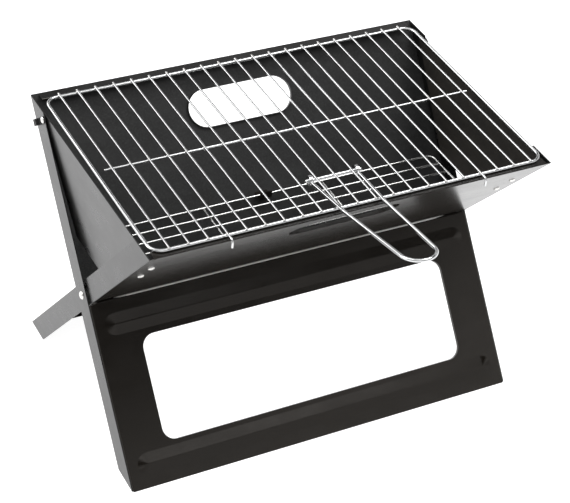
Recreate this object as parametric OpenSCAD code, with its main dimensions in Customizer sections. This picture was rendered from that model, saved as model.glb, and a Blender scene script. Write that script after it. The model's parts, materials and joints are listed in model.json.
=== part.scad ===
// Folding camp grill: two crossed sheet-metal frames on one pivot line form an
// open trough above and two slanted leg panels below. Units: mm, +Z up, front
// of the grill towards -Y, width along X. Origin: centre of the footprint box.

/* [Case] */
// overall width across the outer rails
case_w = 450; // [380:5:520]
// height of the open trough's top edge above the ground
top_h = 301; // [260:1:340]
// height of the pivot line above the ground
pivot_h = 149; // [130:1:170]
// lean of each frame away from vertical when the grill is open
lean = 40; // [34:0.5:44]
// depth of the outer rails (front to back of one folded frame)
outer_depth = 27.6; // [24:0.2:34]
// depth of the inner rails, which nest inside the outer frame
inner_depth = 25.2; // [22:0.2:32]
// sheet thickness of rails, walls and panels
sheet = 1; // [0.8:0.1:1.5]
// side gap between an outer and an inner rail
rail_gap = 1.7; // [1.2:0.1:3]

/* [Openings] */
// width of the window in each leg panel
window_w = 357; // [280:1:380]
// height of the window measured along the panel
window_h = 111; // [80:1:120]
// corner radius of the window
window_r = 14; // [6:1:24]
// centre of the window below the pivot, along the panel
window_s = 109.7; // [100:0.1:120]
// width of the oval hand hole in the back wall
hand_w = 121; // [90:1:140]
// height of the oval hand hole in the back wall
hand_h = 40; // [28:1:46]
// distance of the hand hole centre from the pivot, along the wall
hand_s = 160; // [150:1:170]
// width of the oval slot in the front wall
slot_w = 121; // [90:1:140]
// height of the oval slot in the front wall
slot_h = 40; // [20:1:46]
// distance of the front slot centre from the pivot, along the wall
slot_s = 170; // [155:1:185]

/* [Cooking grate] */
// width of the cooking grate between side wire centres
grate_w = 432; // [380:1:440]
// depth of the cooking grate between front and back wire centres
grate_d = 267; // [240:1:280]
// how far the grate's middle lies in front of the pivot line
grate_fwd = 3.5; // [0:0.5:6]
// corner radius of the grate's frame wire
grate_r = 13; // [8:1:20]
// number of front-to-back bars
bar_count = 21; // [15:2:25]
// spacing of the bars
bar_pitch = 20; // [15:0.1:26]
// diameter of a bar
bar_d = 2.2; // [1.8:0.1:4]
// diameter of the frame wire and of the handle wire
frame_d = 3.5; // [3:0.1:5]

/* [Handle] */
// distance of the handle's hinge bar in front of the grate's middle
hinge_y = 84; // [60:0.5:100]
// reach of the handle from its hinge bar to the tip
handle_reach = 177; // [140:1:200]
// half spacing of the two eyes
eye_x = 26; // [24:0.5:32]
// half width of the handle's round end
handle_end_r = 18; // [14:0.5:22]

/* [Charcoal grate] */
// height of the charcoal grate above the ground
coal_z = 190; // [180:1:215]
// half length of the charcoal grate
coal_x = 209; // [160:1:212]
// spacing of the lengthwise wires
coal_pitch = 16.3; // [12:0.1:20]

/* [Hidden] */
$fn = 48;

black = [0.09, 0.09, 0.09];
steel = [0.75, 0.76, 0.78];
t = sheet;
w2 = case_w / 2;
ao = outer_depth / 2;            // outer half depth
bo = inner_depth / 2;            // inner half depth
ai = ao - t;                     // inside face of an outer-frame sheet
bi = bo - t;                     // inside face of an inner-frame sheet
ax = w2 - t;                     // inside face of an outer rail
bx1 = ax - rail_gap;             // outside face of an inner rail
bx = bx1 - t;                    // inside face of an inner rail
plate_x = bx + 1.6;              // outside of a side plate at its back top corner
plate_lean = 2.75;               // lean of a side plate, bottom edge inwards
plate_turn = 0.54;               // turn of a side plate, front edge inwards
guide_x = bx - 5.5;              // outside face of a plate guide
guide_s = [124, 158];            // its rivets, along the wall
guide_rivet_x = 203.5;           // and across it
rise = top_h - pivot_h;
cl = cos(lean);
sl = sin(lean);
lip = 11;                        // width of the level top lips and foot hems
lip_x = bx - 4.3;                // lips stop short of the lift-out side plates
bend = 1.5;                      // outside radius of a leg panel's side bends
flange = 6;                      // depth of a leg panel's side flanges
catch_y = -9.6;                  // catch rivet, across the rail
catch_s = 181;                   // catch rivet, along the rail
top_bend = 3.2;                  // outside radius of the bend along its top
rail_back = 1.2;                 // outer rail's front edge, set back from the panel's face
bead_x = 213;                    // half length of the pressed beads
bead_w = 23;                     // their width along the panel
bead_h = 2;                      // height of the lower one; the upper is half as high
curl_x = 215;                    // half width of the curled trough bottom
curl_r = 24.8;                   // outer radius of the front wall's curl
curl_s = 22;                     // where the front wall starts to curl
rim = 2.5;                       // turned-in edge around windows and hand holes
pin_r = 3;                       // pivot shank radius
pin_run = 0.06;                  // radial running clearance at the pivot
fr = frame_d / 2;
br = bar_d / 2;
mr = 1.3;                        // middle wire and charcoal grate wire radius
bite = 0.1;                      // depth that crossing wires sink at a weld
gz = top_h + 0.05 + fr;          // frame wire centre height
bz = gz + fr + br - bite;        // bar centre height
hz = bz - br - fr + bite;        // hinge bar centre height
mz = bz - br - mr + bite;        // middle wire centre height
gy = grate_d / 2;
gx = grate_w / 2;
arm1_rise = 0.1;                 // slope of the handle's first stretch
arm2_rise = 0.168;                // slope of its cranked-up end
arm1_y = 62;                     // length of the first stretch
uy = handle_reach - handle_end_r - fr;  // hinge bar to the centre of the round end
tip_y = grate_fwd + hinge_y + handle_reach;
coal_n = 6;
coal_y = coal_pitch * (coal_n - 1) / 2;
plate_top = top_h - 3;
plate_low = top_h - 105;
back_y = rise * sl / cl + ao / cl;      // rearmost edge of the outer frame
oy = (tip_y - back_y) / 2;              // shift that centres the footprint

// ---- placing helpers ------------------------------------------------------
module in_world() { translate([0, oy, 0]) children(); }
module on_grate() { translate([0, oy - grate_fwd, 0]) children(); }
// local frame of the outer frame: z along the sheet, y towards its back
module in_a() { translate([0, oy, pivot_h]) rotate([-lean, 0, 0]) children(); }
// local frame of the inner frame
module in_b() { translate([0, oy, pivot_h]) rotate([lean, 0, 0]) children(); }
// profile drawn as (y, z), swept along x from x0 to x1
module sweep_x(x0, x1) {
  translate([x0, 0, 0]) rotate([90, 0, 90]) linear_extrude(height = x1 - x0) children();
}
// outline drawn as (x, z), made a slab from y0 to y1
module slab_y(y0, y1) {
  translate([0, y1, 0]) rotate([90, 0, 0]) linear_extrude(height = y1 - y0) children();
}
module bar_x(x0, x1, r) { translate([x0, 0, 0]) rotate([0, 90, 0]) cylinder(r = r, h = x1 - x0); }
module rod(p, q, r) {
  d = q - p;
  len = norm(d);
  translate(p) rotate([0, acos(d[2] / len), atan2(d[1], d[0])]) cylinder(r = r, h = len);
}
module round_rect(w, h, r) {
  union() {
    square([w - 2 * r, h], center = true);
    square([w, h - 2 * r], center = true);
    for (i = [-1, 1], j = [-1, 1]) translate([i * (w / 2 - r), j * (h / 2 - r)]) circle(r);
  }
}
module oval(w, h) {
  union() {
    square([w - h, h], center = true);
    for (i = [-1, 1]) translate([i * (w - h) / 2, 0]) circle(h / 2);
  }
}
// closed wire frame, lying level
module wire_loop(x, y, rc, r) {
  union() {
    for (j = [-1, 1]) translate([0, j * y, 0]) bar_x(-x + rc, x - rc, r);
    for (i = [-1, 1]) translate([i * x, y - rc, 0]) rotate([90, 0, 0]) cylinder(r = r, h = 2 * (y - rc));
    for (k = [0:3]) {
      cx = (k == 0 || k == 3) ? x - rc : -x + rc;
      cy = (k < 2) ? y - rc : -y + rc;
      translate([cx, cy, 0]) rotate([0, 0, 90 * k])
        rotate_extrude(angle = 90) translate([rc, 0]) circle(r);
    }
  }
}
// flat-headed rivet along +x: head against x = 0, shank behind it
module rivet(r, h, shank_r, shank) {
  union() {
    cylinder(r = r, h = h * 0.45);
    translate([0, 0, h * 0.45]) cylinder(r1 = r, r2 = r * 0.62, h = h * 0.55);
    translate([0, 0, -shank]) cylinder(r = shank_r, h = shank + 0.01);
  }
}
// long pressed bead on a sheet's face at y = 0, raised towards +y, with coned ends
module bead(x, w, h) {
  root = w / 2 + 0.2 * (w / 2 - 0.6) / h;
  union() {
    sweep_x(-x + w / 2, x - w / 2) polygon([[-0.2, -root], [h, -0.6], [h, 0.6], [-0.2, root]]);
    for (i = [-1, 1]) translate([i * (x - w / 2), 0, 0]) rotate([-90, 0, 0])
      rotate_extrude() polygon([[0, -0.2], [root - 0.09, -0.2], [0.55, h - 0.03], [0, h - 0.03]]);
  }
}

// ---- outer frame ------------------------------------------------------------
function a_cut(y, z) = (z - pivot_h + y * sl) / cl;   // distance along the outer frame at height z
function b_cut(y, z) = (z - pivot_h - y * sl) / cl;   // same for the inner frame

module outer_rail(side) {
  x0 = side > 0 ? ax : -w2;
  rf = -ao + rail_back;
  color(black) in_a() difference() {
    sweep_x(x0, x0 + t) polygon([[rf, a_cut(rf, 0)], [ao, a_cut(ao, 0)],
      [ao, a_cut(ao, top_h)], [rf, a_cut(rf, top_h)]]);
    bar_x(-w2 - 1, w2 + 1, pin_r + 0.03);
    translate([0, catch_y, catch_s]) bar_x(-w2 - 1, w2 + 1, 1.6);
  }
}
module outer_rail_left() { outer_rail(-1); }
module outer_rail_right() { outer_rail(1); }

module back_wall() {
  top_s = a_cut(ao, top_h);
  color(black) in_a() difference() {
    union() {
      sweep_x(-ax, ax) polygon([[ai, 12.5], [ao, 12.5], [ao, top_s], [ai, a_cut(ai, top_h)]]);
      sweep_x(-lip_x, lip_x) polygon([[ai, 0], [ao, 0], [ao, 14], [ai, 14]]);
      // level top lip, turned in
      sweep_x(-lip_x, lip_x) polygon([[ao, top_s], [ao - lip * cl, top_s - lip * sl],
        [ao - lip * cl + t * sl, top_s - lip * sl - t * cl], [ao, top_s - t / cl]]);
      // curl that closes the bottom of the trough under the pivot
      sweep_x(-curl_x, curl_x) intersection() {
        difference() { circle(ao); circle(ai); }
        polygon([[0, 0], [30, 0], [30, -40], [-30, -40], [-30, -30]]);
      }
      // turned edge of the hand hole
      translate([0, 0, hand_s]) slab_y(ai - rim, ao) oval(hand_w + 2 * t, hand_h + 2 * t);
    }
    translate([0, 0, hand_s]) slab_y(-5, ao + 5) oval(hand_w, hand_h);
  }
}

// distance along a frame at which a sheet q outside the frame's middle meets the ground
function foot_cut(q) = -(pivot_h + q * sl) / cl;

// leg panel with its outside towards +y: o outside face, x half width
module leg_panel(o, x, s_top) {
  i = o - t;
  low = foot_cut(o);
  back = o - flange;
  difference() {
    union() {
      // sheet with a rounded bend and a short flange down each side
      intersection() {
        translate([0, 0, low - 5]) linear_extrude(height = s_top - low + 5) union() {
          translate([-x + bend, i]) square([2 * (x - bend), t]);
          for (k = [-1, 1]) {
            translate([k * (x - bend), o - bend]) intersection() {
              difference() { circle(bend); circle(bend - t); }
              translate([k > 0 ? 0 : -bend - 1, 0]) square([bend + 1, bend + 1]);
            }
            translate([k > 0 ? x - t : -x, back]) square([t, flange - bend]);
          }
        }
        sweep_x(-x - 1, x + 1) polygon([[o + 1, foot_cut(o + 1)], [o + 1, s_top],
          [back - 1, s_top], [back - 1, foot_cut(back - 1)]]);
      }
      // level foot hem
      sweep_x(-x + 3, x - 3) polygon([[o, low], [o - lip * cl, low + lip * sl],
        [o - lip * cl + t * sl, low + lip * sl + t * cl], [o, low + t / cl]]);
      // turned edge of the window and of the top
      translate([0, 0, -window_s]) slab_y(i - rim, o)
        round_rect(window_w + 2 * t, window_h + 2 * t, window_r + t);
      sweep_x(-x + 3.4, x - 3.4) translate([o - top_bend, s_top]) intersection() {
        difference() { circle(top_bend); circle(top_bend - t); }
        square(top_bend + 1);
      }
      // pressed beads above and below the window
      translate([0, o, -36]) bead(bead_x, bead_w, bead_h / 2);
      translate([0, o, -181.8]) bead(bead_x, bead_w, bead_h);
    }
    translate([0, 0, -window_s]) slab_y(-40, 40) round_rect(window_w, window_h, window_r);
  }
}
module front_leg_panel() {
  color(black) in_a() rotate([0, 0, 180]) leg_panel(ao, ax, -8.6 - top_bend);
}

module catch_lug(side) {
  color([0.05, 0.05, 0.05]) in_a() translate([side * w2, 0, 0]) difference() {
    union() {
      translate([side > 0 ? 0 : -1.2, -12.4, 177.5]) cube([1.2, 21.4, 7]);
      translate([side > 0 ? 0 : -5, 2, 177.5]) cube([5, 7, 7]);
    }
    translate([0, catch_y, catch_s]) bar_x(-6, 6, 1.6);
  }
}
module catch_lug_left() { catch_lug(-1); }
module catch_lug_right() { catch_lug(1); }

module catch_rivets() {
  color(steel) in_a() for (i = [-1, 1]) translate([i * (w2 + 1.2), catch_y, catch_s])
    rotate([0, i * 90, 0]) rivet(3.6, 1.8, 1.55, t + 1.2 + 0.4);
}

module pivot_rivets() {
  color(steel) in_a() for (i = [-1, 1]) translate([i * w2, 0, 0]) rotate([0, i * 90, 0]) union() {
    rivet(4.6, 2.4, pin_r, w2 - bx + 0.3);
    translate([0, 0, -(w2 - bx) - 1.9]) cylinder(r = 5.6, h = 1.7);
  }
}

module pivot_washers() {
  color(steel) in_a() for (i = [-1, 1]) difference() {
    translate([i * (ax - rail_gap / 2), 0, 0]) rotate([0, 90, 0])
      cylinder(r = 8, h = rail_gap - 0.2, center = true);
    bar_x(-w2, w2, pin_r + 0.03);
  }
}

// tongue with a turned-up end that carries the charcoal grate's back wire
module back_grate_tab() {
  zb = coal_z - mr - 1.3;
  yf = coal_y - mr - 2.6;
  function wy(z) = (z - pivot_h) * sl / cl + ai / cl;
  color(black) in_world() sweep_x(-7, 7) polygon([[wy(zb), zb], [yf, zb], [yf, coal_z + 5.5],
    [yf + 1, coal_z + 5.5], [yf + 1, zb + 1], [wy(zb + 1), zb + 1]]);
}

// ---- inner frame ------------------------------------------------------------
module inner_rail(side) {
  x0 = side > 0 ? bx : -bx1;
  color(black) in_b() difference() {
    sweep_x(x0, x0 + t) polygon([[-bo, b_cut(-bo, 0)], [bo, b_cut(bo, 0)],
      [bo, b_cut(bo, top_h)], [-bo, b_cut(-bo, top_h)]]);
    bar_x(-w2 - 1, w2 + 1, pin_r + pin_run);
  }
}
module inner_rail_left() { inner_rail(-1); }
module inner_rail_right() { inner_rail(1); }

module front_wall() {
  top_s = b_cut(-bo, top_h);
  color(black) in_b() difference() {
    union() {
      sweep_x(-bx, bx) polygon([[-bo, curl_s], [-bi, curl_s], [-bi, b_cut(-bi, top_h)], [-bo, top_s]]);
      // level top lip, turned in
      sweep_x(-lip_x, lip_x) polygon([[-bo, top_s], [-bo + lip * cl, top_s - lip * sl],
        [-bo + lip * cl - t * sl, top_s - lip * sl - t * cl], [-bo, top_s - t / cl]]);
      // wide curl at the bottom of the trough
      sweep_x(-curl_x, curl_x) translate([curl_r - bo, curl_s]) intersection() {
        difference() { circle(curl_r, $fn = 96); circle(curl_r - t, $fn = 96); }
        translate([-curl_r - 1, -curl_r - 1]) square([curl_r + 1, curl_r + 1]);
      }
      translate([0, 0, slot_s]) slab_y(-bo, -bi + rim) oval(slot_w + 2 * t, slot_h + 2 * t);
    }
    translate([0, 0, slot_s]) slab_y(-40, 40) oval(slot_w, slot_h);
    for (i = [-1, 1], s = guide_s) translate([i * guide_rivet_x, 0, s])
      rotate([90, 0, 0]) cylinder(r = 1.6, h = 20);
  }
}

module rear_leg_panel() {
  color(black) in_b() leg_panel(bo, bx, -16 - top_bend);
}

// folded guide strip that keeps a side plate from falling inwards
module front_guide(side) {
  gx1 = guide_x;
  color(black) in_b() difference() {
    union() {
      translate([side > 0 ? gx1 - t : -gx1, -bi, 112]) cube([t, 9, 60]);
      translate([side > 0 ? gx1 - 19 : -gx1, -bi, 112]) cube([19, t, 60]);
    }
    for (s = guide_s) translate([side * guide_rivet_x, 0, s]) rotate([90, 0, 0]) cylinder(r = 1.6, h = 20);
  }
}
module front_guide_left() { front_guide(-1); }
module front_guide_right() { front_guide(1); }
module front_guide_rivets() {
  color(steel) in_b() for (i = [-1, 1], s = guide_s) translate([i * guide_rivet_x, -bo, s])
    rotate([90, 0, 0]) union() {
      rivet(3.4, 1.8, 1.55, 2 * t + 0.1);
      translate([0, 0, -2 * t - 1]) cylinder(r = 3, h = 1);
    }
}

// tongues that carry the charcoal grate's front wire
module front_grate_tabs() {
  zb = coal_z - mr - 1.3;
  function wy(z) = -(z - pivot_h) * sl / cl - bi / cl;
  color(black) in_world() for (x = [-120, 120]) sweep_x(x - 8, x + 8)
    polygon([[wy(zb), zb], [-coal_y + 4, zb], [-coal_y + 4, zb + 1], [wy(zb + 1), zb + 1]]);
}

// ---- loose side plates ------------------------------------------------------
module side_plate(side) {
  f = -(bi - 0.8);                    // front edge, just behind the front wall
  b = -3.5;                           // back edge, in front of the back wall's lip
  function fy(z) = -(z - pivot_h) * sl / cl + f / cl;
  function ky(z) = (z - pivot_h) * sl / cl + b / cl;
  hy = ky(plate_top);
  color(black) in_world() translate([side * plate_x, hy, plate_top])
    rotate([0, side * plate_lean, -side * plate_turn]) translate([0, -hy, -plate_top])
      sweep_x(side > 0 ? -t : 0, side > 0 ? 0 : t) polygon([[fy(plate_low), plate_low],
        [ky(plate_low), plate_low], [hy, plate_top], [fy(plate_top), plate_top]]);
}
module side_plate_left() { side_plate(-1); }
module side_plate_right() { side_plate(1); }

// ---- charcoal grate ---------------------------------------------------------
module coal_grate_frame() {
  color(steel) in_world() translate([0, 0, coal_z]) wire_loop(coal_x, coal_y, 8, mr);
}
module coal_grate_long_wires() {
  color(steel) in_world() for (k = [1:coal_n - 2])
    translate([0, -coal_y + k * coal_pitch, coal_z]) bar_x(-coal_x + mr, coal_x - mr, mr);
}
module coal_grate_cross_wires() {
  color(steel) in_world() for (x = [-71, 71])
    translate([x, coal_y + 4, coal_z - 2 * mr + bite]) rotate([90, 0, 0])
      cylinder(r = mr, h = 2 * coal_y + 8);
}

// ---- cooking grate ----------------------------------------------------------
module cooking_grate_frame() {
  color(steel) on_grate() translate([0, 0, gz]) wire_loop(gx, gy, grate_r, fr);
}
function is_hook(k) = abs(k) == 7;
half_n = (bar_count - 1) / 2;
over = 1.8;                      // how far the bars run past the frame wire
module cooking_grate_bars() {
  color(steel) on_grate() for (k = [-half_n:half_n]) if (!is_hook(k))
    translate([k * bar_pitch, gy + over, bz]) rotate([90, 0, 0])
      cylinder(r = br, h = 2 * (gy + over), $fn = 24);
}
module hooked_bars() {
  hr = 4;
  color(steel) on_grate() for (i = [-1, 1]) translate([i * 7 * bar_pitch, 0, bz]) union() {
    translate([0, gy + over, 0]) rotate([90, 0, 0]) cylinder(r = br, h = 2 * gy + over + 8, $fn = 24);
    translate([0, -gy - 8, -hr]) rotate([0, -90, 0]) rotate([0, 0, -90])
      rotate_extrude(angle = 90) translate([hr, 0]) circle(br, $fn = 24);
    translate([0, -gy - 8 - hr, -hr - 4.5]) cylinder(r = br, h = 4.5, $fn = 24);
  }
}
module grate_middle_bar() {
  color(steel) on_grate() translate([0, 0, mz]) bar_x(-half_n * bar_pitch - 7, half_n * bar_pitch + 7, mr);
}
module handle_hinge_bar() {
  color(steel) on_grate() translate([0, -hinge_y, hz]) bar_x(-31, 31, fr);
}

// ---- lifting handle ---------------------------------------------------------
module grate_handle() {
  eye = fr + 0.07;
  kx = eye_x - (eye_x - handle_end_r) * arm1_y / uy;
  kz = arm1_rise * arm1_y;
  ez = kz + arm2_rise * (uy - arm1_y);
  a2 = atan(arm2_rise);
  color(steel) on_grate() translate([0, -hinge_y, hz]) difference() {
    union() {
      for (i = [-1, 1]) {
        translate([i * eye_x, 0, 0]) rotate([0, 90, 0])
          cylinder(r = eye + frame_d, h = frame_d, center = true);
        rod([i * eye_x, -4.6, 0.46], [i * kx, -arm1_y, kz], fr);
        translate([i * kx, -arm1_y, kz]) sphere(fr + 0.05);
        rod([i * kx, -arm1_y, kz], [i * handle_end_r, -uy, ez], fr);
        translate([i * handle_end_r, -uy, ez]) sphere(fr + 0.05);
      }
      translate([0, -uy, ez]) rotate([-a2, 0, 0]) rotate([0, 0, 180])
        rotate_extrude(angle = 180) translate([handle_end_r, 0]) circle(fr);
    }
    bar_x(-40, 40, eye);
  }
}

back_wall();
front_leg_panel();
outer_rail_left();
outer_rail_right();
catch_lug_left();
catch_lug_right();
catch_rivets();
pivot_rivets();
pivot_washers();
back_grate_tab();
front_wall();
rear_leg_panel();
inner_rail_left();
inner_rail_right();
front_guide_left();
front_guide_right();
front_guide_rivets();
front_grate_tabs();
side_plate_left();
side_plate_right();
coal_grate_frame();
coal_grate_long_wires();
coal_grate_cross_wires();
cooking_grate_frame();
cooking_grate_bars();
hooked_bars();
grate_middle_bar();
handle_hinge_bar();
grate_handle();
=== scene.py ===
"""Folding camp grill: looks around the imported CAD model. Metres, row frame."""
import json
import math

import bpy
import bmesh
from mathutils import Euler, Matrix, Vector


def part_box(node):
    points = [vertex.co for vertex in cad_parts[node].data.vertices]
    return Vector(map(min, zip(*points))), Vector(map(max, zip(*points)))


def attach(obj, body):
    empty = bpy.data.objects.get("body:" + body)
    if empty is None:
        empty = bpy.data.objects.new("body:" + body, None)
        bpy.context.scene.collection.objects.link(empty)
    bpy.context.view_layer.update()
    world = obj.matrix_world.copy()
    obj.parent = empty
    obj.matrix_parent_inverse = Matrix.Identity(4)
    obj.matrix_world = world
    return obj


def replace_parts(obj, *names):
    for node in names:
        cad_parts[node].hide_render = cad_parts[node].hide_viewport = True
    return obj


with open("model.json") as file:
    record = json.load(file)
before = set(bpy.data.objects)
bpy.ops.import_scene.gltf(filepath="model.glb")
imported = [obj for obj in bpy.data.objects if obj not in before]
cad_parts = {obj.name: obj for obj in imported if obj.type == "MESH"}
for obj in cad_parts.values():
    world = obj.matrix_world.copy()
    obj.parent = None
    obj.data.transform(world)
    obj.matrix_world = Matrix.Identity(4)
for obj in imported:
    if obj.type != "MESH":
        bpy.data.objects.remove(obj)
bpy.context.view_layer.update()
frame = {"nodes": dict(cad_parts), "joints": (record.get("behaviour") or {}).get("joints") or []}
nodes = frame["nodes"]

# ---- the grill's own measures: from the frame, or part.scad's driving sizes ----
MM = 0.001
LEAN = math.radians(40.0)
CL, SL = math.cos(LEAN), math.sin(LEAN)
JOINTS = {j["name"]: j for j in frame["joints"]}
PIVOT = Vector(JOINTS["case_fold"]["pos_m"])
HINGE = Vector(JOINTS["handle_swing"]["pos_m"])
OUT_A, OUT_B = 13.8 * MM, 12.6 * MM      # half depths of the outer and inner frame
SIDES = (-1, 1)
TOP_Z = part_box("back_wall")[1].z
GRATE_LO, GRATE_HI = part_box("cooking_grate_frame")
BARS_LO, BARS_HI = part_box("cooking_grate_bars")
COAL_LO, COAL_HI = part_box("coal_grate_frame")
CROSS_LO, CROSS_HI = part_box("coal_grate_cross_wires")
MID_LO, MID_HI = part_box("grate_middle_bar")
HOOK_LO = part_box("hooked_bars")[0]
FRAME_R, BAR_R, THIN_R = 1.75 * MM, 1.1 * MM, 1.3 * MM
PITCH = 20.0 * MM
BARS_EACH_SIDE = 10
HOOKED = 7                               # the hooked bars, counted from the middle
CROSS_X = 71 * MM                        # the charcoal grate's cross wires
RAIL_X = 225 * MM                        # outer face of the outer rails
LUG_X = RAIL_X + 1.2 * MM
CATCH_Y, CATCH_S = -9.6 * MM, 181 * MM
GUIDE_X = 203.5 * MM
GUIDE_S = (124 * MM, 158 * MM)
LIP = 11 * MM                            # width of the level lips and foot hems
LIP_HALF = 216.4 * MM                    # half lengths of the rolled edges
FRONT_FOOT_HALF, REAR_FOOT_HALF = 221 * MM, 218 * MM
BEND_TOP = -8.6 * MM                     # top of the front leg panel, along the sheet
MID_Y = (BARS_LO.y + BARS_HI.y) / 2
ROW_Y = (GRATE_HI.y - GRATE_LO.y) / 2 - FRAME_R
BAR_Z = BARS_LO.z + BAR_R


def in_a(x, y, s):
    """A point of the outer frame: y towards its back, s up along the sheet."""
    return Vector((x, PIVOT.y + y * CL + s * SL, PIVOT.z + s * CL - y * SL))


def in_b(x, y, s):
    """A point of the inner frame."""
    return Vector((x, PIVOT.y + y * CL - s * SL, PIVOT.z + s * CL + y * SL))


# ---- materials ---------------------------------------------------------------
class Graph:
    """One node material, in the object's own coordinates."""

    def __init__(self, name):
        self.mat = bpy.data.materials.new(name)
        self.mat.use_nodes = True
        self.tree = self.mat.node_tree
        self.tree.nodes.clear()
        out = self.tree.nodes.new("ShaderNodeOutputMaterial")
        self.bsdf = self.tree.nodes.new("ShaderNodeBsdfPrincipled")
        self.tree.links.new(self.bsdf.outputs[0], out.inputs[0])
        self.coords = self.tree.nodes.new("ShaderNodeTexCoord")
        self.place = self.coords.outputs["Object"]

    def node(self, kind, links=(), **values):
        n = self.tree.nodes.new(kind)
        for key, value in values.items():
            setattr(n, key, value)
        for socket, value in links:
            if isinstance(value, bpy.types.NodeSocket):
                self.tree.links.new(value, n.inputs[socket])
            else:
                n.inputs[socket].default_value = value
        return n

    def set(self, **sockets):
        """Sets or links the shader's own sockets, an underscore standing for a space."""
        for name, value in sockets.items():
            socket = self.bsdf.inputs[name.replace("_", " ")]
            if isinstance(value, bpy.types.NodeSocket):
                self.tree.links.new(value, socket)
            else:
                socket.default_value = value

    def stretched(self, scale):
        return self.node("ShaderNodeMapping", [(0, self.place), (3, scale)]).outputs[0]

    def noise(self, scale, detail=2.0, rough=0.5, at=None):
        return self.node("ShaderNodeTexNoise", [("Vector", at or self.place),
                         ("Scale", scale), ("Detail", detail), ("Roughness", rough)]).outputs[0]

    def cells(self, scale):
        return self.node("ShaderNodeTexVoronoi",
                         [("Vector", self.place), ("Scale", scale)]).outputs[0]

    def math(self, op, a, b=0.0, clamp=False):
        return self.node("ShaderNodeMath", [(0, a), (1, b)],
                         operation=op, use_clamp=clamp).outputs[0]

    def remap(self, value, lo, hi, a=0.0, b=1.0):
        return self.node("ShaderNodeMapRange", [(0, value), (1, lo), (2, hi), (3, a), (4, b)],
                         clamp=True).outputs[0]

    def mix(self, share, a, b):
        n = self.node("ShaderNodeMix", data_type="RGBA")
        for k, value in ((0, share), (6, a), (7, b)):
            if isinstance(value, bpy.types.NodeSocket):
                self.tree.links.new(value, n.inputs[k])
            else:
                n.inputs[k].default_value = value
        return n.outputs[2]

    def axis(self, k, of=None):
        return self.node("ShaderNodeSeparateXYZ", [(0, of or self.place)]).outputs[k]

    def edges(self, radius, lo, hi):
        """1 along sharp edges, 0 elsewhere."""
        soft = self.node("ShaderNodeBevel", [("Radius", radius)], samples=4).outputs[0]
        hard = self.node("ShaderNodeNewGeometry").outputs["Normal"]
        dot = self.node("ShaderNodeVectorMath", [(0, soft), (1, hard)], operation="DOT_PRODUCT")
        return self.remap(dot.outputs["Value"], hi, lo)

    def bump(self, height, strength, distance):
        return self.node("ShaderNodeBump", [("Strength", strength), ("Distance", distance),
                         ("Height", height)]).outputs[0]


def grey(v, warm=0.0):
    """A grey, tinted towards brown by warm."""
    return (v * (1 + warm), v, v * (1 - warm), 1.0)


def fire_side(g, side, colour, rough, height, smudge_and_sheen):
    """Duller, grainy enamel where the fire sees it, with lighter patches that are partly ash and partly
    painted sheen. side = (axis of the normal, sign, grey, tint).
    """
    axis, sign, inner, warm = side
    leather = g.noise(620.0, 3.0, 0.75)
    grain = g.noise(2300.0, 2.0, 0.7)
    facing = g.axis(axis, g.coords.outputs["Normal"])
    inside = g.remap(g.math("MULTIPLY", facing, sign), 0.25, 0.45)
    ash_and_sheen = g.mix(g.remap(leather, 0.45, 0.66), grey(inner * 0.45, warm), grey(inner * 2.0, warm))
    # lighter patches along the smudges: partly ash, partly a painted sheen of glossy streaks
    ash_and_sheen = g.mix(g.remap(smudge_and_sheen, 0.42, 0.68, 0.0, 0.45), ash_and_sheen, grey(inner * 2.4, warm))
    colour = g.mix(inside, colour, ash_and_sheen)
    dull = g.remap(grain, 0.3, 0.7, 0.52, 0.68)
    rough = g.math("ADD", g.math("MULTIPLY", rough, g.math("SUBTRACT", 1.0, inside)),
                   g.math("MULTIPLY", dull, inside))
    pores = g.math("MULTIPLY", g.math("MULTIPLY", leather, inside), 12.0)
    return colour, rough, g.math("ADD", height, pores)


def enamel(name, dark, light, gloss, matt_side=None, warm=0.03, tint=0.0, relief=0.15):
    """Black stove enamel. gloss is its (low, high) roughness, warm tints its colour and tint
    its reflections. matt_side is the side that the fire sees. relief scales the orange peel."""
    g = Graph(name)
    broad = g.noise(5.0, 3.0)
    patch = g.noise(38.0, 5.0, 0.6)
    peel = g.noise(620.0, 2.0, 0.4)
    smudge_and_sheen = g.noise(16.0, 4.0, 0.7, g.stretched((1.0, 1.0, 3.0)))
    colour = g.mix(g.remap(broad, 0.3, 0.7), grey(dark, warm), grey(light, warm))
    rough = g.remap(g.math("ADD", smudge_and_sheen, g.math("MULTIPLY", patch, 0.5)),
                    0.55, 0.95, gloss[0], gloss[1])
    height = g.math("MULTIPLY", peel, relief)
    if matt_side:
        colour, rough, height = fire_side(g, matt_side, colour, rough, height, smudge_and_sheen)
    # dust specks, in some places only
    specks = g.remap(g.cells(420.0), 0.0, 0.13, 1.0, 0.0)
    few = g.remap(g.noise(60.0, 1.0), 0.58, 0.66)
    specks = g.math("MULTIPLY", specks, few)
    colour = g.mix(g.math("MULTIPLY", specks, 0.2), colour, grey(0.11, 0.02))
    # edges rubbed thin, lighter along sharp edges: partly wear, partly a painted edge highlight
    chips = g.remap(g.noise(170.0, 5.0, 0.75), 0.5, 0.68, 0.12, 1.0)
    rubbed_edge_and_highlight = g.math("MULTIPLY", g.edges(0.7 * MM, 0.72, 0.97), chips)
    colour = g.mix(g.math("MULTIPLY", rubbed_edge_and_highlight, 0.5), colour, grey(0.16, 0.03))
    rough = g.math("ADD", rough, g.math("MULTIPLY", rubbed_edge_and_highlight, 0.12), clamp=True)
    g.set(Base_Color=colour, Roughness=rough, IOR=1.5, Specular_Tint=grey(1 - tint, tint),
          Normal=g.bump(height, 0.05, 0.03 * MM))
    return g.mat


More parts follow.
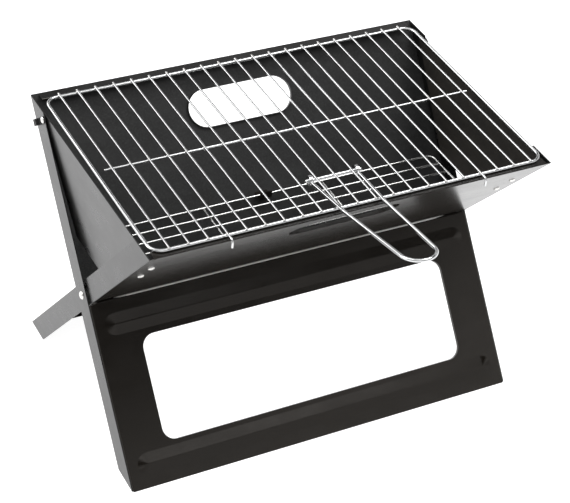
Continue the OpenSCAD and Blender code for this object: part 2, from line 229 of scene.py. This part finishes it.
def plated(name, tint, gloss, scorch=None, along=0):
    """Bright plated wire, drawn along one axis. scorch lists the y of weld rows, which are
    heat-stained."""
    g = Graph(name)
    stretch = [900.0, 900.0, 900.0]
    stretch[along] = 60.0
    drawn = g.noise(1.0, 3.0, 0.6, g.stretched(tuple(stretch)))
    cloud = g.noise(55.0, 4.0, 0.6)
    deeper = tuple(c * 0.9 for c in tint[:3]) + (1.0,)
    base = g.mix(g.remap(cloud, 0.35, 0.7), tint, deeper)
    rough = g.remap(g.math("ADD", cloud, g.math("MULTIPLY", drawn, 0.6)),
                    0.5, 1.1, gloss[0], gloss[1])
    if scorch:
        y = g.axis(1)
        stain = None
        for row in scorch:
            away = g.math("ABSOLUTE", g.math("SUBTRACT", y, row))
            near = g.remap(away, 0.6 * MM, 4.5 * MM, 1.0, 0.0)
            stain = near if stain is None else g.math("MAXIMUM", stain, near)
        patchy = g.remap(g.noise(230.0, 4.0, 0.7), 0.35, 0.65, 0.1, 1.0)
        stain = g.math("MULTIPLY", stain, patchy)
        base = g.mix(g.math("MULTIPLY", stain, 0.4), base, (0.30, 0.25, 0.20, 1.0))
        rough = g.math("ADD", rough, g.math("MULTIPLY", stain, 0.15))
    pits = g.remap(g.cells(700.0), 0.0, 0.12, 1.0, 0.0)
    pits = g.math("MULTIPLY", pits, g.remap(g.noise(40.0), 0.55, 0.7, 0.0, 0.4))
    base = g.mix(pits, base, (0.32, 0.31, 0.30, 1.0))
    g.set(Base_Color=base, Roughness=rough, Metallic=1.0, Normal=g.bump(drawn, 0.12, 0.05 * MM))
    return g.mat


def riveted(name):
    """Turned steel rivet heads."""
    g = Graph(name)
    cloud = g.noise(300.0, 4.0, 0.6)
    fine = g.noise(2600.0, 2.0)
    edge = g.edges(0.5 * MM, 0.75, 0.98)
    base = g.mix(g.remap(cloud, 0.35, 0.65), (0.80, 0.79, 0.77, 1.0), (0.60, 0.59, 0.57, 1.0))
    base = g.mix(g.math("MULTIPLY", edge, 0.4), base, (0.9, 0.9, 0.9, 1.0))
    g.set(Base_Color=base, Metallic=1.0, Roughness=g.remap(cloud, 0.3, 0.7, 0.18, 0.36),
          Normal=g.bump(g.math("ADD", cloud, g.math("MULTIPLY", fine, 0.4)), 0.2, 0.05 * MM))
    return g.mat


def moulded(name):
    """Matt black moulded catch lugs with a spark-eroded grain."""
    g = Graph(name)
    grain = g.noise(1900.0, 3.0, 0.65)
    cloud = g.noise(90.0, 3.0)
    edge = g.edges(0.8 * MM, 0.7, 0.97)
    base = g.mix(cloud, grey(0.008), grey(0.02))
    base = g.mix(g.math("MULTIPLY", edge, 0.45), base, grey(0.09))
    g.set(Base_Color=base, Roughness=g.remap(grain, 0.3, 0.7, 0.5, 0.7), Specular_IOR_Level=0.25,
          Normal=g.bump(grain, 0.35, 0.12 * MM))
    return g.mat


def highlight_strip_colour(name):
    """Bright metal-like colour for a strip that paints a highlight, brighter towards the right."""
    g = Graph(name)
    cloud = g.noise(120.0, 4.0, 0.7, g.stretched((0.25, 1.0, 1.0)))
    fine = g.noise(1500.0, 2.0)
    shade = g.mix(g.remap(cloud, 0.35, 0.65), (0.85, 0.83, 0.80, 1.0), (0.68, 0.655, 0.62, 1.0))
    # painted highlight: lighter towards the right
    shade = g.mix(g.remap(g.axis(0), 0.08, 0.17, 0.0, 0.9), shade, grey(1.0, 0.01))
    g.set(Base_Color=shade, Roughness=g.remap(fine, 0.3, 0.7, 0.38, 0.52), Metallic=0.35,
          Normal=g.bump(fine, 0.15, 0.03 * MM))
    return g.mat


SATIN = (0.26, 0.32)
sheet_mat = enamel("enamel_sheet", 0.0025, 0.0045, (0.16, 0.22), warm=0.4, tint=0.05, relief=0.25)
side_mat = enamel("enamel_rail", 0.004, 0.008, SATIN)
back_mat = enamel("enamel_back_wall", 0.004, 0.008, (0.17, 0.30), (1, -1.0, 0.011, 0.0), relief=0.6)
front_mat = enamel("enamel_front_wall", 0.004, 0.008, (0.22, 0.25), (1, 1.0, 0.007, 0.0),
                   warm=0.25, relief=0.01)
left_mat = enamel("enamel_left_plate", 0.004, 0.009, SATIN, (0, 1.0, 0.007, 0.0))
right_mat = enamel("enamel_right_plate", 0.004, 0.009, SATIN, (0, -1.0, 0.009, 0.25))
BRIGHT = (0.64, 0.645, 0.65, 1.0)
WELD_ROWS = [MID_Y - ROW_Y, MID_Y, MID_Y + ROW_Y]
bar_mat = plated("plated_bars", BRIGHT, (0.10, 0.22), WELD_ROWS, along=1)
rim_mat = plated("plated_frame", BRIGHT, (0.09, 0.2), along=0)
handle_mat = plated("plated_handle", BRIGHT, (0.07, 0.16), along=1)
coal_mat = plated("plated_coal_grate", (0.70, 0.70, 0.69, 1.0), (0.16, 0.32), along=0)
rivet_mat = riveted("rivet_steel")
lug_mat = moulded("lug_moulding")
painted_highlight_mat = highlight_strip_colour("painted_highlight_strip")

LOOKS = {
    "back_wall": back_mat, "front_leg_panel": sheet_mat, "outer_rail_left": side_mat,
    "outer_rail_right": side_mat, "catch_lug_left": lug_mat, "catch_lug_right": lug_mat,
    "catch_rivets": rivet_mat, "pivot_rivets": rivet_mat, "pivot_washers": rivet_mat,
    "back_grate_tab": sheet_mat, "front_wall": front_mat, "rear_leg_panel": sheet_mat,
    "inner_rail_left": side_mat, "inner_rail_right": side_mat, "front_guide_left": sheet_mat,
    "front_guide_right": sheet_mat, "front_guide_rivets": rivet_mat,
    "front_grate_tabs": sheet_mat, "side_plate_left": left_mat, "side_plate_right": right_mat,
    "coal_grate_frame": coal_mat, "coal_grate_long_wires": coal_mat,
    "coal_grate_cross_wires": coal_mat, "cooking_grate_frame": rim_mat,
    "cooking_grate_bars": bar_mat, "hooked_bars": bar_mat, "grate_middle_bar": rim_mat,
    "handle_hinge_bar": rim_mat, "grate_handle": handle_mat,
}
for node_name, look in LOOKS.items():
    mesh = nodes[node_name].data
    mesh.materials.clear()
    mesh.materials.append(look)


# ---- pieces added to the CAD shapes ------------------------------------------
def piece(name, bm, material, body):
    mesh = bpy.data.meshes.new(name)
    bmesh.ops.recalc_face_normals(bm, faces=bm.faces)
    bm.to_mesh(mesh)
    bm.free()
    mesh.materials.append(material)
    for p in mesh.polygons:
        p.use_smooth = True
    obj = bpy.data.objects.new(name, mesh)
    bpy.context.scene.collection.objects.link(obj)
    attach(obj, body)
    return obj


def basis(direction):
    z = direction.normalized()
    x = z.orthogonal().normalized()
    return x, z.cross(x), z


def blob(bm, centre, radii, seed):
    """A small weld nugget: a lumpy ellipsoid."""
    made = bmesh.ops.create_icosphere(bm, subdivisions=2, radius=1.0)
    for v in made["verts"]:
        lump = 1 + 0.07 * math.sin(9 * v.co.x + seed) * math.sin(7 * v.co.y + 2 * seed)
        v.co = centre + Vector(v.co[k] * radii[k] * lump for k in range(3))


def lathe(bm, centre, direction, profile, steps=28):
    """profile: (radius, height) pairs turned round direction."""
    x, y, z = basis(direction)
    turn = [2 * math.pi * k / steps for k in range(steps)]
    rings = []
    for r, h in profile:
        if r == 0:
            rings.append([bm.verts.new(centre + z * h)])
        else:
            rings.append([bm.verts.new(centre + z * h + (x * math.cos(a) + y * math.sin(a)) * r)
                          for a in turn])
    for low, high in zip(rings, rings[1:]):
        for k in range(steps):
            n = (k + 1) % steps
            if len(low) == 1:
                bm.faces.new((low[0], high[k], high[n]))
            elif len(high) == 1:
                bm.faces.new((low[k], low[n], high[0]))
            else:
                bm.faces.new((low[k], low[n], high[n], high[k]))


def dome(r, h, at=0.0, steps=7):
    """The rounded end of a wire or rivet, from its rim to its crown."""
    return [(r * math.cos(a), at + h * math.sin(a))
            for a in (math.pi / 2 * k / steps for k in range(steps))] + [(0, at + h)]


def wire_end(bm, place, direction, r, h=0.45 * MM):
    """A rounded end on a cut wire, a hair thinner than the wire."""
    lathe(bm, place, direction, dome(r * 0.99, h), 16)


# weld nuggets where the wires of the cooking grate cross
ROW_WELD = (1.5 * MM, 1.6 * MM, 0.65 * MM)
MIDDLE_WELD = (1.4 * MM, 1.3 * MM, 0.6 * MM)
UNDER_BARS = BAR_Z - BAR_R
bm = bmesh.new()
bar_xs = [k * PITCH for k in range(-BARS_EACH_SIDE, BARS_EACH_SIDE + 1)]
for k, x in enumerate(bar_xs):
    for row in SIDES:
        blob(bm, Vector((x, MID_Y + row * ROW_Y, UNDER_BARS + 0.05 * MM)), ROW_WELD, k + row)
    blob(bm, Vector((x, MID_Y, UNDER_BARS)), MIDDLE_WELD, k)
for x in (-PITCH, 0.0, PITCH):
    blob(bm, Vector((x, HINGE.y, UNDER_BARS)), ROW_WELD, x * 300)
piece("grate_welds", bm, bar_mat, "cooking_grate")

# and of the charcoal grate
CROSS_WELD = (1.6 * MM, 1.6 * MM, 0.7 * MM)
END_WELD = (1.6 * MM, 2.0 * MM, 1.4 * MM)
COAL_GAPS = 5                            # between the long wires and the frame
coal_y0, coal_y1 = COAL_LO.y + THIN_R, COAL_HI.y - THIN_R
coal_z = (COAL_LO.z + COAL_HI.z) / 2
coal_end = COAL_HI.x - THIN_R
bm = bmesh.new()
for k in range(COAL_GAPS + 1):
    y = coal_y0 + (coal_y1 - coal_y0) * k / COAL_GAPS
    for x in (-CROSS_X, CROSS_X):
        blob(bm, Vector((x, y, coal_z - THIN_R)), CROSS_WELD, k + x)
    if 0 < k < COAL_GAPS:
        for side in SIDES:
            blob(bm, Vector((side * coal_end, y, coal_z)), END_WELD, k)
piece("coal_welds", bm, coal_mat, "charcoal_grate")

# rounded ends on the cut wires
bm = bmesh.new()
for k, x in enumerate(bar_xs):
    wire_end(bm, Vector((x, BARS_HI.y, BAR_Z)), Vector((0, 1, 0)), BAR_R)
    if abs(k - BARS_EACH_SIDE) != HOOKED:
        wire_end(bm, Vector((x, BARS_LO.y, BAR_Z)), Vector((0, -1, 0)), BAR_R)
for side, x in ((-1, MID_LO.x), (1, MID_HI.x)):
    wire_end(bm, Vector((x, MID_Y, (MID_LO.z + MID_HI.z) / 2)), Vector((side, 0, 0)), THIN_R, 0.5 * MM)
for side in SIDES:
    wire_end(bm, Vector((side * HOOKED * PITCH, HOOK_LO.y + BAR_R, HOOK_LO.z)), Vector((0, 0, -1)), BAR_R)
piece("grate_wire_ends", bm, bar_mat, "cooking_grate")

bm = bmesh.new()
for x in (-CROSS_X, CROSS_X):
    for side, y in ((-1, CROSS_LO.y), (1, CROSS_HI.y)):
        wire_end(bm, Vector((x, y, (CROSS_LO.z + CROSS_HI.z) / 2)), Vector((0, side, 0)), THIN_R,
                 0.5 * MM)
piece("coal_wire_ends", bm, coal_mat, "charcoal_grate")


# rolled safe edges along the level lips and the foot hems
HEM_R = 0.9 * MM
TOP_HEM_Z = TOP_Z - HEM_R
FOOT_HEM_Z = HEM_R + 0.05 * MM


def hem(name, half, out, sign, reach, body, z):
    """A rolled edge on the inner edge of a lip or hem, which leaves the sheet at reach from
    the pivot, on the front (sign -1) or back (sign 1) of the grill."""
    edge_y = (PIVOT.y + sign * (out * CL + reach * SL)) - sign * LIP
    bm = bmesh.new()
    lathe(bm, Vector((-half, edge_y, z)), Vector((1, 0, 0)),
          [(0, 0), (HEM_R, 0), (HEM_R, 2 * half), (0, 2 * half)], 14)
    piece(name, bm, sheet_mat, body)


top_a = (TOP_Z - PIVOT.z + OUT_A * SL) / CL
top_b = (TOP_Z - PIVOT.z + OUT_B * SL) / CL
foot_a = (PIVOT.z + OUT_A * SL) / CL
foot_b = (PIVOT.z + OUT_B * SL) / CL
hem("back_lip_hem", LIP_HALF, OUT_A, 1, top_a, "outer_frame", TOP_HEM_Z)
hem("front_lip_hem", LIP_HALF, OUT_B, -1, top_b, "inner_frame", TOP_HEM_Z)
hem("front_foot_hem", FRONT_FOOT_HALF, OUT_A, -1, foot_a, "outer_frame", FOOT_HEM_Z)
hem("rear_foot_hem", REAR_FOOT_HALF, OUT_B, 1, foot_b, "inner_frame", FOOT_HEM_Z)


def painted_highlight_strip(name, start, end, r, body):
    """A thin bright strip along a bend, a painted highlight, that tapers towards both ends."""
    length = (end - start).length
    steps = 24
    taper = 7                            # full width is reached at about a twelfth of the length
    profile = [(0, 0)]
    for k in range(1, steps):
        u = k / steps
        profile.append((r * min(1.0, 0.4 + taper * min(u, 1 - u)), length * u))
    bm = bmesh.new()
    lathe(bm, start, end - start, profile + [(0, length)], 12)
    piece(name, bm, painted_highlight_mat, body)


# painted highlight: a bright strip along the leg panel's top bend, where the front wall folds past it
HIGHLIGHT_HALF = 219 * MM
HIGHLIGHT_Y, HIGHLIGHT_S = -OUT_A + 1.75 * MM, BEND_TOP - 1.9 * MM
painted_highlight_strip("front_panel_painted_highlight", in_a(-HIGHLIGHT_HALF, HIGHLIGHT_Y, HIGHLIGHT_S), in_a(HIGHLIGHT_HALF, HIGHLIGHT_Y, HIGHLIGHT_S),
          1.7 * MM, "outer_frame")


# domed rivets in place of the plain CAD ones; heights count outwards from the sheet
SHANK_R = 1.5 * MM


def rivet_head(r, h):
    """A domed head with a small flat skirt."""
    skirt = h * 0.16
    return [(r, 0.0), (r, skirt)] + dome(r * 0.94, h - skirt, skirt)


def formed_tail(r, h, grip):
    """The rivet's formed inner end, beyond the sheets that it grips, and its shank."""
    return [(0, -grip - h), (r * 0.7, -grip - h), (r, -grip - h * 0.55), (r, -grip),
            (SHANK_R, -grip), (SHANK_R, 0.0)]


def rivets(name, spots, profile, body, node):
    bm = bmesh.new()
    for centre, direction in spots:
        lathe(bm, centre, direction, profile)
    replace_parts(piece(name, bm, rivet_mat, body), node)


OUTWARD_B = Vector((0, -CL, -SL))
guide_tail = formed_tail(2.9 * MM, 0.9 * MM, grip=2.0 * MM)
rivets("front_guide_rivets_domed", [(in_b(side * GUIDE_X, -OUT_B, s), OUTWARD_B)
       for side in SIDES for s in GUIDE_S],
       guide_tail + rivet_head(3.4 * MM, 1.7 * MM), "inner_frame", "front_guide_rivets")

PIVOT_SHANK_R = 3.0 * MM
pivot_tail = [(0, -5.7 * MM), (4.6 * MM, -5.7 * MM), (5.4 * MM, -5.2 * MM), (5.4 * MM, -4.05 * MM),
              (PIVOT_SHANK_R, -4.05 * MM), (PIVOT_SHANK_R, 0.0)]
rivets("pivot_rivets_domed", [(Vector((side * RAIL_X, PIVOT.y, PIVOT.z)), Vector((side, 0, 0)))
       for side in SIDES],
       pivot_tail + rivet_head(4.5 * MM, 2.3 * MM), "outer_frame", "pivot_rivets")

catch_shank = [(0, -2.5 * MM), (SHANK_R, -2.5 * MM), (SHANK_R, 0.0)]
rivets("catch_rivets_domed", [(in_a(side * LUG_X, CATCH_Y, CATCH_S), Vector((side, 0, 0)))
       for side in SIDES],
       catch_shank + rivet_head(3.5 * MM, 1.7 * MM), "outer_frame", "catch_rivets")


# ---- studio --------------------------------------------------------------------
def floor_material():
    g = Graph("studio_floor")
    tone = g.mix(g.noise(2.0, 3.0), (0.46, 0.46, 0.463, 1.0), (0.5, 0.5, 0.503, 1.0))
    g.set(Base_Color=tone, Roughness=0.9, Specular_IOR_Level=0.1,
          Emission_Color=(1.0, 1.0, 1.0, 1.0), Emission_Strength=0.95)
    return g.mat


bm = bmesh.new()
bmesh.ops.create_grid(bm, x_segments=8, y_segments=8, size=30.0)
floor_mesh = bpy.data.meshes.new("floor")
bm.to_mesh(floor_mesh)
bm.free()
floor_mesh.materials.append(floor_material())
floor = bpy.data.objects.new("floor", floor_mesh)
floor.location.z = -0.2 * MM
bpy.context.scene.collection.objects.link(floor)


MIDDLE = Vector((0, 0, 0.15))


def softbox(name, place, size, power):
    """A soft light that looks at the grill's middle."""
    light = bpy.data.lights.new(name, "AREA")
    light.shape = "RECTANGLE"
    light.size, light.size_y = size
    light.energy = power
    obj = bpy.data.objects.new(name, light)
    obj.location = place
    obj.rotation_euler = (MIDDLE - obj.location).to_track_quat("-Z", "Y").to_euler()
    bpy.context.scene.collection.objects.link(obj)


for softbox_spec in [("left_softbox", (-2.0, 0.9, 1.5), (1.6, 1.6), 30.0),
                     ("top_softbox", (0.2, -0.5, 2.3), (2.2, 1.8), 14.0),
                     ("back_softbox", (-1.0, 1.9, 1.15), (1.2, 0.8), 10.0),
                     ("edge_softbox", (0.95, 0.05, 2.1), (0.7, 0.7), 14.0)]:
    softbox(*softbox_spec)
sun = bpy.data.lights.new("broad_light", "SUN")
sun.energy = 1.2
sun.angle = math.radians(46)
sun_obj = bpy.data.objects.new("broad_light", sun)
sun_obj.rotation_euler = Euler((math.radians(-22), math.radians(-28), 0))
bpy.context.scene.collection.objects.link(sun_obj)

# the studio's background: (sine of the elevation, brightness) pairs. The black panels reflect
# the stretch from 0.4 to 0.8: light low down, a dark gap, and a bright band above it.
world = bpy.data.worlds.new("studio")
world.use_nodes = True
wt = world.node_tree
direction = wt.nodes.new("ShaderNodeTexCoord").outputs["Generated"]
height = wt.nodes.new("ShaderNodeSeparateXYZ")
wt.links.new(direction, height.inputs[0])
ramp = wt.nodes.new("ShaderNodeValToRGB")
SKY = [(0.0, 0.5), (0.25, 0.65), (0.33, 0.5), (0.4, 0.2), (0.435, 1.05), (0.49, 0.95), (0.54, 0.02),
       (0.69, 0.02), (0.72, 1.5), (0.74, 2.8), (0.76, 0.4), (1.0, 0.4)]
stops = ramp.color_ramp.elements
while len(stops) < len(SKY):
    stops.new(1.0)
for stop, (where, level) in zip(stops, SKY):
    stop.position = where
    stop.color = (level, level, level, 1.0)
wt.links.new(height.outputs[2], ramp.inputs[0])
background = wt.nodes["Background"]
wt.links.new(ramp.outputs[0], background.inputs[0])
background.inputs[1].default_value = 1.0
bpy.context.scene.world = world
bpy.context.scene.view_settings.view_transform = "Standard"

camera = bpy.data.cameras.new("camera")
camera.lens = 117.15
camera.sensor_width = 36.0
camera.clip_end = 100.0
camera_obj = bpy.data.objects.new("camera", camera)
camera_obj.location = (-0.8080, -1.2730, 1.3603)
camera_obj.rotation_euler = Euler(tuple(math.radians(v) for v in (51.8243, -5.2521, -27.3982)))
bpy.context.scene.collection.objects.link(camera_obj)
bpy.context.scene.camera = camera_obj
